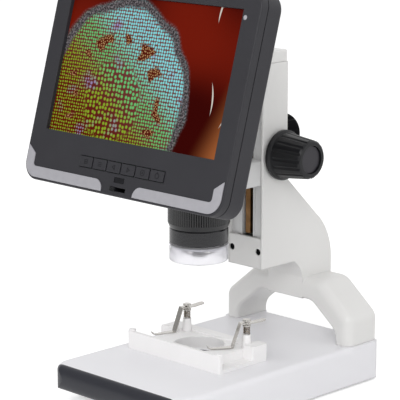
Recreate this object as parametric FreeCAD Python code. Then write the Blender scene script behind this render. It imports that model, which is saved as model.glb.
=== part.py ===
"""Digital microscope: a heavy base with an arched arm, a rack-and-pinion focus
column, a camera head with a tilted screen, and a slide holder with two clips.

Millimetres. +X is to the right of someone who faces the screen, the front is
towards -Y and +Z is up. The origin is on the standing plane, under the middle
of the base.
"""
import FreeCAD
import Part
import math
import os

V = FreeCAD.Vector
os.makedirs("parts", exist_ok=True)

# Driving dimensions: base
base_width = 120.0
base_front = -91.0
base_rear = 101.0
base_top = 28.0
base_wall = 2.5
base_corner_r = 4.5
base_edge_r = 4.0
foot_height = 1.5
foot_r = 7.0
foot_inset = 15.0
foot_rear_y = 85.0
foot_front_y = -52.0
nose_height = 17.0
nose_depth = 5.0
front_corner_r = 15.0
bow_length = 22.0
cover_thickness = 2.2
cover_gap = 0.2
boss_r = 4.0
boss_inset = 10.0
boss_front_y = -58.0
boss_rear_y = 62.0
cover_screw_r = 1.5
cover_screw_head_r = 2.8
cover_screw_head_h = 1.4
cover_screw_length = 14.0
screw_gap = 0.05

# Driving dimensions: lens axis and the light under the stage
axis_y = -15.0
window_r = 16.0
window_gap = 0.15
board_thickness = 1.6

# Driving dimensions: arm and column
column_half = 16.0
column_wall = 1.6
column_front = 29.0
column_depth = 24.7
column_top = 221.5
column_rear_wall = 2.0
column_corner_r = 1.0
body_bottom = 82.5
slant_top = 142.0
slant_bottom = 113.0
slant_lean = 1.04
slant_bow = 0.70
slant_bow_drop = 14.0
slant_drop = 33.0
body_rear_inset = 0.7
neck_front = 70.0
neck_start = 61.0
neck_bow_y = 3.4
neck_bow_z = 5.0
shoulder_run = 26.7
shoulder_z = 69.5
shoulder_r = 12.0
leg_inset = 1.8
leg_thickness = 12.2
leg_knee_z = 47.6
leg_knee_r = 8.0
leg_front_r = 6.5
leg_rear_r = 3.5
leg_inner_r = 2.5
arch_top = 54.6
arch_slope_run = 22.5
arch_knee_z = 36.4
arch_round_r = 12.0
pad_lead = 1.0
pad_corner_r = 6.0
cap_height = 8.0
cap_plug = 4.0
cap_inset = 0.5
cap_edge_r = 1.2
arm_screw_r = 1.8
arm_screw_head_r = 3.0
arm_screw_head_h = 2.4
arm_screw_depth = 12.0

# Driving dimensions: slideway and rack drive
plate_top = 103.5
plate_thickness = 2.4
plate_gap = 0.15
plate_screw_x = 12.0
plate_screw_z = 94.0
plate_hole_r = 2.3
plate_screw_r = 1.3
plate_screw_head_h = 1.2
plate_screw_length = 9.0
lower_channel_half = 9.5
channel_bottom = 85.0
rail_recess = 3.0
rail_thickness = 4.0
slot_half = 5.1
slide_gap = 0.3
arm_bottom = 139.5
arm_top = 156.5
keeper_half = 12.0
keeper_thickness = 3.0
keeper_reach = 7.0
web_gap = 0.2
rack_half = 2.1
rack_bottom = 105.0
rack_teeth_bottom = 122.0
rack_top = 184.0
gear_module = 0.8
pinion_teeth = 10
pinion_half = 2.0
pinion_backlash = 0.1
pressure_angle = 20.0
profile_shift = 0.42
flank_steps = 4
shaft_neck_r = 1.9
drive_y = 46.0
drive_z = 159.3
shaft_r = 3.0
shaft_gap = 0.05
bush_r = 5.0
bush_flange_r = 6.5
bush_flange = 0.8

# Driving dimensions: focus knobs and rear lock knob
knob_start = 17.4
knob_flange_r = 17.0
knob_flange = 4.0
knob_root_r = 15.4
knob_end_r = 13.0
knob_length = 27.1
knob_flutes = 16
knob_flute_r = 1.6
knob_dish_r = 9.4
knob_dish_depth = 2.4
knob_cap_r = 9.2
knob_cap_thickness = 1.0
lock_z = 170.0
lock_r = 13.0
lock_length = 18.0
lock_gap = 0.4
lock_edge_r = 5.0
lock_flutes = 10
lock_stud_r = 2.5
lock_stud_end = 43.3

# Driving dimensions: camera head and lens
head_half = 24.0
head_bottom = 138.0
head_top = 186.0
head_rear = 0.0
head_nose_y = -46.0
head_edge_r = 4.0
head_wall = 2.2
ring_r = 20.6
ring_bottom = 117.6
ring_top = 137.4
ring_taper = 3.0
ring_ribs = 80
rib_depth = 0.4
barrel_r = 17.4
barrel_bore_r = 13.0
barrel_gap = 0.4
smooth_r = 19.5
smooth_bottom = 107.3
hood_r = 19.5
hood_bottom = 95.4
hood_wall = 1.6
led_count = 8
led_circle_r = 14.6
led_r = 1.4
led_height = 1.2
cell_r = 11.0
cell_bottom = 100.5
lens_r = 8.2
lens_crown = 1.4
lens_rim = 2.6
lens_seat_gap = 0.5

# Driving dimensions: screen, measured in its own tilted plane
screen_tilt = 16.0
screen_y = -77.5
screen_z = 180.5
picture_half = 77.0
picture_height = 92.0
bezel_side = 14.0
bezel_below = 34.2
bezel_above = 13.4
casing_corner_r = 12.0
bezel_proud = 2.0
picture_sink = 0.6
bezel_thickness = 6.4
casing_depth = 17.2
casing_wall = 2.0
casing_edge_r = 2.4
seam_width = 0.7
seam_depth = 0.6
glass_gap = 0.2
circuit_thickness = 1.6
button_count = 6
button_pitch = 13.08
button_width = 11.8
button_height = 6.7
button_middle_h = -16.2
button_gap = 0.4
button_depth = 3.0
button_proud = 0.5
button_travel = 0.8
switch_half = 7.1
switch_height = 2.6
switch_h = -29.6
switch_knob_width = 4.6
switch_travel = 6.0
switch_proud = 0.6
switch_gap = 0.3
receiver_half = 4.7
receiver_height = 3.5
receiver_h = -23.8
status_side = 2.3
status_drop = 5.0
status_r = 1.5
board_half = 60.0
board_inset = 6.0
board_rise = 60.0
pillar_r = 2.5
pillar_inset = 6.0
trim_width = 7.2
trim_inset = 1.6
trim_proud = 0.6
trim_depth = 0.8
trim_gap_half = 14.5
trim_leg_h = -12.0
trim_end_slant = 6.5

# Driving dimensions: slide holder and clips
stage_left = -48.3
stage_right = 38.6
stage_front = -35.0
stage_rear = 10.5
stage_floor = 2.6
platform_height = 9.0
platform_half = 29.7
stage_wall_height = 12.3
stage_wall = 2.6
stage_block_depth = 14.0
stage_block_height = 12.0
stage_left_height = 10.5
stage_left_r = 2.5
stage_ledge_depth = 7.5
stage_ledge_height = 10.4
stage_post_r = 2.4
stage_post_rise = 1.2
stage_corner_r = 1.2
stage_hole_r = 17.2
clip_x = 28.0
clip_y = 1.6
clip_post_r = 3.3
clip_post_top_r = 2.8
clip_socket_gap = 0.05
clip_post_height = 8.8
clip_stud_r = 1.0
spring_height = 5.6
spring_r = 2.1
spring_wire_r = 0.35
spring_turns = 4.5
spring_runs = 12
hub_r = 2.8
hub_height = 4.6
clip_turn_right = 30.0
clip_turn_left = 16.0
clip_strip_width = 5.2
clip_flat = 4.5
clip_pin_r = 0.45
clip_pin_gap = 0.05
clip_knuckle_r = 0.95
clip_eye_half = 1.3
clip_knuckle_end = 2.2
clip_strip_thickness = 0.6
clip_reach = 27.0
clip_bend = 10.0
clip_tail = 13.0
clip_rest_gap = 0.3


# Helpers
def box(x0, x1, y0, y1, z0, z1):
    """Block between two corners."""
    return Part.makeBox(x1 - x0, y1 - y0, z1 - z0, V(x0, y0, z0))


def rod(start, end, radius):
    """Round bar from one point to another."""
    way = end - start
    return Part.makeCylinder(radius, way.Length, start, way)


def wire_of(points):
    """Closed wire from points; a pair of points in a tuple is an arc through the first."""
    edges = []
    last = points[0]
    for item in points[1:] + [points[0]]:
        if isinstance(item, tuple):
            edges.append(Part.Arc(last, item[0], item[1]).toShape())
            last = item[1]
        elif (item - last).Length > 1e-6:
            edges.append(Part.makeLine(last, item))
            last = item
    return Part.Wire(edges)


def prism(points, way):
    """Solid swept straight from a flat outline."""
    return Part.Face(wire_of(points)).extrude(way)


def side_prism(outline, x0, x1):
    """Solid from an outline of (y, z) points, between two x values."""
    def lift(p):
        return (V(x0, *p[0]), V(x0, *p[1])) if isinstance(p[0], tuple) else V(x0, *p)
    return prism([lift(p) for p in outline], V(x1 - x0, 0, 0))


def front_prism(outline, y0, y1):
    """Solid from an outline of (x, z) points, between two y values."""
    def lift(p):
        if isinstance(p[0], tuple):
            return (V(p[0][0], y0, p[0][1]), V(p[1][0], y0, p[1][1]))
        return V(p[0], y0, p[1])
    return prism([lift(p) for p in outline], V(0, y1 - y0, 0))


def rounded(shape, radius, pick):
    """Fillet the edges that the test picks."""
    edges = [e for e in shape.Edges if pick(e)]
    return shape.makeFillet(radius, edges) if edges else shape


def runs_along(edge, axis):
    """True for a straight edge parallel to one axis."""
    if not isinstance(edge.Curve, Part.Line):
        return False
    way = edge.Vertexes[-1].Point - edge.Vertexes[0].Point
    return abs(abs(way.dot(axis)) - way.Length) < 1e-4


def at_level(edge, z):
    """True for an edge that lies at one height."""
    bounds = edge.BoundBox
    return abs(bounds.ZMin - z) < 1e-3 and abs(bounds.ZMax - z) < 1e-3


def slab(x0, x1, z0, z1, y0, y1, radius):
    """Upright plate with four rounded corners, thick along y."""
    plate = box(x0, x1, y0, y1, z0, z1)
    return rounded(plate, radius, lambda e: runs_along(e, V(0, 1, 0)))


def revolve_x(outline, x, y, z):
    """Solid of revolution about a line along +X from (along, radius) points."""
    face = Part.Face(wire_of([V(x + a, y, z + r) for a, r in outline]))
    return face.revolve(V(x, y, z), V(1, 0, 0), 360)


def revolve_z(outline, x, y):
    """Solid of revolution about a vertical line from (radius, z) points."""
    face = Part.Face(wire_of([V(x + r, y, z) for r, z in outline]))
    return face.revolve(V(x, y, 0), V(0, 0, 1), 360)


def cut_all(shape, tools):
    """Take several solids away from one."""
    return shape.cut(Part.Compound(tools)) if tools else shape


def fuse_all(shapes):
    """Join solids into one without leftover seams."""
    return shapes[0].fuse(shapes[1:]).removeSplitter()


def mirrored(shape):
    """Mirror image across the middle plane."""
    return shape.mirror(V(0, 0, 0), V(1, 0, 0))


def on_screen(shape):
    """Tilt a solid from the upright drawing of the screen to its real place."""
    placed = shape.copy()
    placed.rotate(V(0, 0, 0), V(1, 0, 0), -screen_tilt)
    placed.translate(V(0, screen_y, screen_z))
    return placed


def in_plane(edge, y):
    """True for an edge that lies in one upright plane."""
    bounds = edge.BoundBox
    return abs(bounds.YMin - y) < 1e-3 and abs(bounds.YMax - y) < 1e-3


def round_corner(shape, x, z, radius):
    """Fillet the corner of a front outline that stands at one (x, z) place."""
    def stands_there(edge):
        middle = edge.CenterOfMass
        return runs_along(edge, V(0, 1, 0)) and abs(middle.x - x) < 0.1 and abs(middle.z - z) < 0.1
    return rounded(shape, radius, stands_there)


def save(name, *shapes):
    """Write one sub-part, with the origin moved under the middle of the base."""
    solids = [solid.translated(V(0, -middle_y, 0)) for shape in shapes for solid in shape.Solids]
    whole = solids[0] if len(solids) == 1 else Part.Compound(solids)
    whole.exportStep("parts/%s.step" % name)


# Values that follow from the driving dimensions
half = base_width / 2
foot_x = half - foot_inset
boss_x = half - boss_inset
leg_half = half - leg_inset
leg_inner = leg_half - leg_thickness
shoulder_half = leg_half - shoulder_run
arch_flat_half = leg_inner - arch_slope_run
base_roof = base_top - base_wall
middle_y = (base_front - nose_depth + base_rear) / 2
bow_z = base_top - nose_height
cover_top = foot_height + cover_thickness
column_rear = column_front + column_depth
channel_half = column_half - column_wall
channel_rear = column_rear - column_rear_wall
plate_back = column_front + plate_thickness
rail_front = column_front + rail_recess
rail_back = rail_front + rail_thickness
body_rear = base_rear - body_rear_inset
pitch_r = gear_module * pinion_teeth / 2
pressure = math.radians(pressure_angle)
base_r = pitch_r * math.cos(pressure)
gear_tip_r = pitch_r + gear_module * (0.9 + profile_shift)
gear_root_r = pitch_r - gear_module * (1.25 - profile_shift)
rack_line_y = drive_y - pitch_r - profile_shift * gear_module
slide_face = rail_front - slide_gap
keeper_front = rail_back + slide_gap
stage_top = base_top + platform_height
post_top = stage_top + clip_post_height
spring_top = post_top + spring_height
bezel_front = -bezel_proud
casing_half = picture_half + bezel_side
casing_h0 = -bezel_below
casing_h1 = picture_height + bezel_above
status_x = picture_half + status_side
status_h = picture_height - status_drop


# Base
def make_base():
    """Moulded base shell, its cover, feet, screws and the dark nose strip."""
    reach = base_front - nose_depth
    block = base_block(0, foot_height, base_top)
    block = rounded(block, base_edge_r,
                    lambda e: at_level(e, base_top) and e.CenterOfMass.y > reach + 1)
    shell = block.cut(box(-half - 1, half + 1, reach - 1, base_front, 0, base_top + 1))
    bow = side_prism([(base_front - 1, foot_height - 1), (base_front - 1, bow_z),
                      (base_front, bow_z), (base_front + bow_length, foot_height),
                      (base_front + bow_length, foot_height - 1)], -half - 1, half + 1)
    slope = (bow_z - foot_height) / bow_length
    cave_front = base_front + base_wall
    cave_low = bow_z + base_wall
    cave_step = cave_front + (cave_low - cover_top) / slope
    cave = side_prism([(base_rear - base_wall, foot_height - 1),
                       (base_rear - base_wall, base_roof),
                       (cave_front, base_roof), (cave_front, cave_low),
                       (cave_step, cover_top), (cave_step, foot_height - 1)],
                      -half + base_wall, half - base_wall)
    cave = cave.common(base_block(base_wall, foot_height - 1, base_roof))
    shell = shell.cut(bow).cut(cave)
    bosses, screws, boss_holes, head_seats = [], [], [], []
    for x in (-boss_x, boss_x):
        for y in (boss_front_y, boss_rear_y):
            low = V(x, y, foot_height + cover_screw_head_h)
            bosses.append(rod(V(x, y, cover_top), V(x, y, base_roof), boss_r))
            tip = V(x, y, low.z + cover_screw_length)
            boss_holes.append(rod(V(x, y, cover_top), tip + V(0, 0, 0.5), cover_screw_r + screw_gap))
            head_seats.append(rod(V(x, y, 0), low, cover_screw_head_r + screw_gap))
            head_seats.append(rod(V(x, y, 0), V(x, y, cover_top + 1), cover_screw_r + screw_gap))
            screws.append(rod(V(x, y, foot_height), low, cover_screw_head_r)
                          .fuse(rod(low, tip, cover_screw_r)).removeSplitter())
    pads = []
    for side in (-1, 1):
        pad = box(leg_inner, half, neck_front - pad_lead, base_rear, base_top - base_edge_r - 1, base_top)
        pad = rounded(pad, pad_corner_r, lambda e: runs_along(e, V(0, 0, 1)) and e.CenterOfMass.x > half - 1
                      and e.CenterOfMass.y < neck_front)
        pad = rounded(pad, base_corner_r, lambda e: runs_along(e, V(0, 0, 1)) and e.CenterOfMass.x > half - 1
                      and e.CenterOfMass.y > base_rear - 1)
        pads.append(pad if side > 0 else mirrored(pad))
    hollow = box(-half + base_wall, half - base_wall, neck_front - 5, base_rear - base_wall, 0, base_roof)
    shell = fuse_all([shell] + bosses + [pad.cut(hollow) for pad in pads])
    arm_holes = [rod(V(x, y, base_roof - 1), V(x, y, base_top + 1), arm_screw_r + screw_gap)
                 for x, y in arm_screw_places()]
    window_hole = rod(V(0, axis_y, base_roof - 1), V(0, axis_y, base_top + 1), window_r + window_gap)
    save("base_shell", cut_all(shell, boss_holes + arm_holes + [window_hole]))

    cover = box(-half + base_wall + cover_gap, half - base_wall - cover_gap,
                cave_step + cover_gap, base_rear - base_wall - cover_gap, foot_height, cover_top)
    cover = rounded(cover, base_corner_r - base_wall,
                    lambda e: runs_along(e, V(0, 0, 1)) and e.CenterOfMass.y > 0)
    save("base_bottom_cover", cut_all(cover, head_seats))
    save("base_cover_screws", *screws)

    feet = []
    for x in (-foot_x, foot_x):
        for y in (foot_front_y, foot_rear_y):
            feet.append(revolve_z([(0, 0), (foot_r - 0.6, 0), (foot_r, 0.6),
                                   (foot_r, foot_height), (0, foot_height)], x, y))
    save("rubber_feet", *feet)

    save("nose_strip", nose_bar().common(block))

    save("light_window", rod(V(0, axis_y, base_roof), V(0, axis_y, base_top - 0.1), window_r))
    save("light_board", rod(V(0, axis_y, base_roof - board_thickness), V(0, axis_y, base_roof),
                            window_r + 2))


def base_block(inset, low, high):
    """The base's plan with its round corners, set in by a wall, between two levels."""
    block = box(-half + inset, half - inset, base_front - nose_depth + inset, base_rear - inset, low, high)
    block = rounded(block, front_corner_r - inset,
                    lambda e: runs_along(e, V(0, 0, 1)) and e.CenterOfMass.y < 0)
    return rounded(block, base_corner_r - inset,
                   lambda e: runs_along(e, V(0, 0, 1)) and e.CenterOfMass.y > 0)


def nose_bar():
    """Half-oval bar across the base's front edge."""
    middle = base_top - nose_height / 2
    upper = Part.Ellipse(V(-half, base_front, middle + nose_height / 2),
                         V(-half, base_front - nose_depth, middle), V(-half, base_front, middle))
    arc = Part.Arc(upper, 0, math.pi).toShape()
    line = Part.makeLine(arc.Vertexes[0].Point, arc.Vertexes[-1].Point)
    return Part.Face(Part.Wire([arc, line])).extrude(V(base_width, 0, 0))


def arm_screw_places():
    """Two screws up into each leg."""
    middle = leg_half - leg_thickness / 2
    return [(side * middle, y) for side in (-1, 1) for y in (neck_front + 7, body_rear - 8)]


# Arm
def make_arm():
    """One casting: the channel column, its deep lower body, and the arched legs."""
    knee_y = column_rear + (slant_top - slant_bottom) * slant_lean
    body = side_prism([
        (column_front, body_bottom), (column_front, column_top), (column_rear, column_top),
        (column_rear, slant_top), (knee_y, slant_bottom),
        ((knee_y + (body_rear - knee_y) * slant_bow, slant_bottom - slant_bow_drop),
         (body_rear, slant_bottom - slant_drop)),
        (body_rear, arch_top), (neck_front, arch_top), (neck_front, shoulder_z),
        ((neck_front - neck_bow_y, body_bottom - neck_bow_z), (neck_start, body_bottom))],
        -column_half, column_half)
    body = rounded(body, column_corner_r,
                   lambda e: runs_along(e, V(0, 0, 1)) and e.BoundBox.ZMax > shoulder_z + 1)
    arch = make_arch()
    casting = fuse_all([body, arch, mirrored(arch)])

    far = channel_rear
    tools = [box(-channel_half, channel_half, column_front - 1, far, plate_top, column_top + 1),
             box(-channel_half, channel_half, column_front - 1, plate_back, body_bottom - 1, plate_top + 1),
             box(-lower_channel_half, lower_channel_half, column_front - 1, far,
                 channel_bottom, plate_top + 1),
             rod(V(-column_half - 1, drive_y, drive_z), V(column_half + 1, drive_y, drive_z), bush_r),
             rod(V(0, far - 1, lock_z), V(0, column_rear + 1, lock_z), lock_stud_r + shaft_gap)]
    for x in (-plate_screw_x, plate_screw_x):
        tools.append(rod(V(x, column_front, plate_screw_z),
                         V(x, column_front + plate_screw_length + 1, plate_screw_z),
                         plate_screw_r + screw_gap))
    for x, y in arm_screw_places():
        tools.append(rod(V(x, y, base_top - 1), V(x, y, base_top + arm_screw_depth), arm_screw_r + screw_gap))
    save("arm_casting", cut_all(casting, tools))

    screws = []
    for x, y in arm_screw_places():
        head = rod(V(x, y, base_roof - arm_screw_head_h), V(x, y, base_roof), arm_screw_head_r)
        screws.append(head.fuse(rod(V(x, y, base_roof), V(x, y, base_top + arm_screw_depth - 1),
                                    arm_screw_r)).removeSplitter())
    save("arm_screws", *screws)

    cap_half = column_half - cap_inset
    cap = box(-cap_half, cap_half, column_front + cap_inset, column_rear - cap_inset, column_top,
              column_top + cap_height)
    cap = rounded(cap, cap_edge_r, lambda e: runs_along(e, V(0, 0, 1)))
    cap = rounded(cap, cap_edge_r, lambda e: at_level(e, column_top + cap_height))
    plug_half = channel_half - plate_gap
    plug = box(-plug_half, plug_half, rail_back + 1, channel_rear - plate_gap, column_top - cap_plug, column_top)
    save("column_cap", fuse_all([cap, plug]))


def make_arch():
    """Right half of the arch: rounded shoulder and knee, and a softly edged opening."""
    arch = front_prism([(0, base_top), (0, shoulder_z), (shoulder_half, shoulder_z), (leg_half, leg_knee_z),
                        (leg_half, base_top)], neck_front, body_rear)
    arch = round_corner(arch, shoulder_half, shoulder_z, shoulder_r)
    arch = round_corner(arch, leg_half, leg_knee_z, leg_knee_r)
    for y, radius in ((neck_front, leg_front_r), (body_rear, leg_rear_r)):
        arch = rounded(arch, radius, lambda e: in_plane(e, y) and not at_level(e, base_top)
                       and e.BoundBox.XMax > 1)
    opening = front_prism([(-1, base_top - 1), (-1, arch_top), (arch_flat_half, arch_top),
                           (leg_inner, arch_knee_z), (leg_inner, base_top - 1)], neck_front - 1, body_rear + 1)
    opening = round_corner(opening, arch_flat_half, arch_top, arch_round_r)
    opening = round_corner(opening, leg_inner, arch_knee_z, arch_round_r)
    arch = arch.cut(opening)
    return rounded(arch, leg_inner_r, lambda e: in_plane(e, neck_front) and not at_level(e, base_top)
                   and e.BoundBox.XMax > 1 and e.BoundBox.XMax < leg_inner + 0.1
                   and e.BoundBox.ZMax < arch_top + 0.1)


def make_slideway():
    """Front plate, its screws, the two guide rails and the shaft bushes."""
    edge = channel_half - plate_gap
    plate = box(-edge, edge, column_front, plate_back, body_bottom, plate_top - plate_gap)
    holes, screws = [], []
    for x in (-plate_screw_x, plate_screw_x):
        head_back = plate_back - 0.4
        head_front = head_back - plate_screw_head_h
        holes.append(rod(V(x, column_front - 1, plate_screw_z), V(x, head_back, plate_screw_z), plate_hole_r))
        holes.append(rod(V(x, column_front - 1, plate_screw_z), V(x, plate_back + 1, plate_screw_z),
                         plate_screw_r + screw_gap))
        head = rod(V(x, head_front, plate_screw_z), V(x, head_back, plate_screw_z),
                   plate_hole_r - screw_gap)
        shank = rod(V(x, head_back, plate_screw_z), V(x, column_front + plate_screw_length, plate_screw_z),
                    plate_screw_r)
        screws.append(head.fuse(shank).removeSplitter())
    save("front_plate", cut_all(plate, holes))
    save("front_plate_screws", *screws)

    rail = box(slot_half, channel_half, rail_front, rail_back, plate_top, column_top - 0.2)
    lip = box(slot_half, slot_half + 1.2, rail_front - 0.5, rail_front, plate_top, column_top - 0.2)
    rail = fuse_all([rail, lip])
    save("guide_rail_right", rail)
    save("guide_rail_left", mirrored(rail))

    bush = rod(V(channel_half - 1.0, drive_y, drive_z), V(column_half, drive_y, drive_z), bush_r)
    flange = rod(V(column_half, drive_y, drive_z), V(column_half + bush_flange, drive_y, drive_z), bush_flange_r)
    bore = rod(V(0, drive_y, drive_z), V(column_half + 5, drive_y, drive_z), shaft_r + shaft_gap)
    bush = bush.fuse(flange).removeSplitter().cut(bore)
    save("shaft_bushes", bush, mirrored(bush))


# Rack drive
def make_carriage():
    """Sliding block with its keeper behind the rails, and the brass rack in its slot."""
    slide_half = channel_half - slide_gap
    block = box(-slide_half, slide_half, head_rear, slide_face, arm_bottom, arm_top)
    block = rounded(block, 1.5, lambda e: runs_along(e, V(0, 1, 0)))
    relief = slot_half + 1.2 + slide_gap
    block = block.cut(box(-relief, relief, rail_front - 0.5 - slide_gap, slide_face, arm_bottom - 1, arm_top + 1))
    web_half = slot_half - web_gap
    web = box(-web_half, web_half, slide_face - 2, keeper_front, arm_bottom, arm_top)
    keeper = box(-keeper_half, keeper_half, keeper_front, keeper_front + keeper_thickness,
                 arm_bottom - keeper_reach, arm_top + keeper_reach)
    groove = box(-rack_half, rack_half, rack_front(), channel_rear, rack_bottom, rack_top)
    save("carriage_block", fuse_all([block, web, keeper]).cut(groove))
    save("focus_rack", make_rack())


def rack_front():
    """Front face of the rack, flush with the guide rails."""
    return rail_front


def make_rack():
    """Toothed bar: straight flanks at the pinion's pitch; a tooth space faces the pinion's tooth."""
    pitch = math.pi * gear_module
    root_y = rack_line_y - 1.25 * gear_module
    tip_y = rack_line_y + gear_module
    bar = box(-rack_half, rack_half, rack_front(), root_y, rack_bottom, rack_top)
    lean = math.tan(pressure)
    middle_half = pitch / 4 - pinion_backlash / 2
    root_half = middle_half + 1.25 * gear_module * lean
    tip_half = middle_half - gear_module * lean
    steps = range(int((rack_teeth_bottom - drive_z) / pitch), int((rack_top - 2 - drive_z) / pitch))
    teeth = []
    for step in steps:
        z = drive_z + (step + 0.5) * pitch
        teeth.append(side_prism([(root_y - 0.1, z - root_half), (root_y, z - root_half), (tip_y, z - tip_half),
                                 (tip_y, z + tip_half), (root_y, z + root_half), (root_y - 0.1, z + root_half)],
                                -rack_half, rack_half))
    return fuse_all([bar] + teeth)


def involute(angle):
    """Angle that an involute flank has turned through at a pressure angle."""
    return math.tan(angle) - angle


def tooth_half_angle(radius):
    """Half the angle that a pinion tooth spans at a radius, with radial flanks under the base circle."""
    thickness = gear_module * (math.pi / 2 + 2 * profile_shift * math.tan(pressure)) - pinion_backlash
    flank = math.acos(min(1.0, base_r / radius))
    return thickness / (2 * pitch_r) + involute(pressure) - involute(flank)


def make_pinion():
    """Small gear with involute teeth; one tooth points at the rack."""
    radii = [gear_root_r - 0.3, base_r]
    for step in range(1, flank_steps + 1):
        radii.append(base_r + (gear_tip_r - base_r) * step / flank_steps)
    flank = [(radius, tooth_half_angle(max(radius, base_r))) for radius in radii]
    outline = flank + [(radius, -angle) for radius, angle in reversed(flank)]
    points = [(drive_y - radius * math.cos(angle), drive_z + radius * math.sin(angle))
              for radius, angle in outline]
    tooth = side_prism(points, -pinion_half, pinion_half)
    teeth = []
    for step in range(pinion_teeth):
        teeth.append(tooth.copy())
        teeth[-1].rotate(V(0, drive_y, drive_z), V(1, 0, 0), step * 360.0 / pinion_teeth)
    core = rod(V(-pinion_half, drive_y, drive_z), V(pinion_half, drive_y, drive_z), gear_root_r)
    bore = rod(V(-pinion_half - 1, drive_y, drive_z), V(pinion_half + 1, drive_y, drive_z), shaft_neck_r)
    return fuse_all([core] + teeth).cut(bore)


def make_drive():
    """Shaft, pinion and the two fluted focus knobs with their end discs."""
    end = knob_start + knob_length - knob_dish_depth - 1.0
    neck = rod(V(-pinion_half - 0.5, drive_y, drive_z), V(pinion_half + 0.5, drive_y, drive_z), shaft_neck_r)
    limbs = [rod(V(side * (pinion_half + 0.5), drive_y, drive_z), V(side * end, drive_y, drive_z), shaft_r)
             for side in (-1, 1)]
    save("pinion_shaft", fuse_all([neck] + limbs))
    save("pinion_gear", make_pinion())

    body_start = knob_flange
    body_end = knob_length
    knob = revolve_x([(0, 0), (0, knob_flange_r - 1), (1.0, knob_flange_r), (knob_flange - 1, knob_flange_r),
                      (body_start, knob_root_r), (body_end - 1.2, knob_end_r), (body_end, knob_end_r - 1.2),
                      (body_end, 0)], knob_start, drive_y, drive_z)
    flutes = []
    for step in range(knob_flutes):
        turn = 2 * math.pi * step / knob_flutes
        out = V(0, math.cos(turn), math.sin(turn))
        low = V(knob_start + body_start + 1.6, drive_y, drive_z) + out * (knob_root_r + 1.0)
        high = V(knob_start + body_end + 2, drive_y, drive_z) + out * (knob_end_r + 0.5)
        flutes.append(rod(low, high, knob_flute_r))
    floor_x = knob_start + body_end - knob_dish_depth
    dish = rod(V(floor_x, drive_y, drive_z), V(knob_start + body_end + 1, drive_y, drive_z), knob_dish_r)
    socket = rod(V(knob_start - 1, drive_y, drive_z), V(end, drive_y, drive_z), shaft_r)
    knob = cut_all(knob, flutes + [dish, socket])
    cap = rod(V(floor_x, drive_y, drive_z), V(floor_x + knob_cap_thickness, drive_y, drive_z), knob_cap_r)
    cap = rounded(cap, 0.3, lambda e: e.BoundBox.XMin > floor_x + knob_cap_thickness - 0.01)
    save("focus_knob_right", knob)
    save("focus_knob_left", mirrored(knob))
    save("focus_knob_cap_right", cap)
    save("focus_knob_cap_left", mirrored(cap))


def make_lock():
    """Rear lock knob with its stud through the column's rear wall."""
    start = column_rear + lock_gap
    stud = rod(V(0, lock_stud_end, lock_z), V(0, start + 1, lock_z), lock_stud_r)
    knob = rod(V(0, start, lock_z), V(0, start + lock_length, lock_z), lock_r)
    knob = rounded(knob, lock_edge_r, lambda e: e.BoundBox.YMin > start + lock_length - 0.01)
    grips = []
    for step in range(lock_flutes):
        turn = 2 * math.pi * (step + 0.5) / lock_flutes
        place = V(math.cos(turn) * (lock_r + 1.6), 0, lock_z + math.sin(turn) * (lock_r + 1.6))
        grips.append(rod(V(place.x, start + 3, place.z), V(place.x, start + lock_length + 1, place.z), 2.6))
    save("rear_lock_knob", fuse_all([cut_all(knob, grips), stud]))


# Camera head and lens
def back_plane_y(z):
    """Place of the screen casing's back at a height."""
    tilt = math.radians(screen_tilt)
    low = screen_z - casing_depth * math.sin(tilt)
    return screen_y + casing_depth * math.cos(tilt) + (z - low) * math.tan(tilt)


def make_head():
    """White head housing between the screen and the column, with the camera board in it."""
    chin = head_bottom + 12.0
    outline = [(head_rear, head_bottom), (head_rear, head_top), (back_plane_y(head_top), head_top),
               (back_plane_y(chin), chin), (head_nose_y, head_bottom)]
    housing = side_prism(outline, -head_half, head_half)
    housing = rounded(housing, head_edge_r,
                      lambda e: runs_along(e, V(0, 0, 1)) or at_level(e, head_top) and runs_along(e, V(0, 1, 0)))
    cavity = box(-head_half + head_wall + 2, head_half - head_wall - 2, head_nose_y + 4, head_rear - head_wall,
                 head_bottom + head_wall, head_top - head_wall)
    throat = rod(V(0, axis_y, head_bottom - 1), V(0, axis_y, head_bottom + head_wall + 1), barrel_bore_r)
    save("head_housing", housing.cut(cavity).cut(throat))
    board_z = head_bottom + head_wall
    board = box(-head_half + head_wall + 4, head_half - head_wall - 4, axis_y - 16, head_rear - head_wall - 0.3,
                board_z, board_z + board_thickness)
    sensor = box(-4.5, 4.5, axis_y - 4.5, axis_y + 4.5, board_z - 1.2, board_z)
    save("camera_board", fuse_all([board, sensor]))


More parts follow.
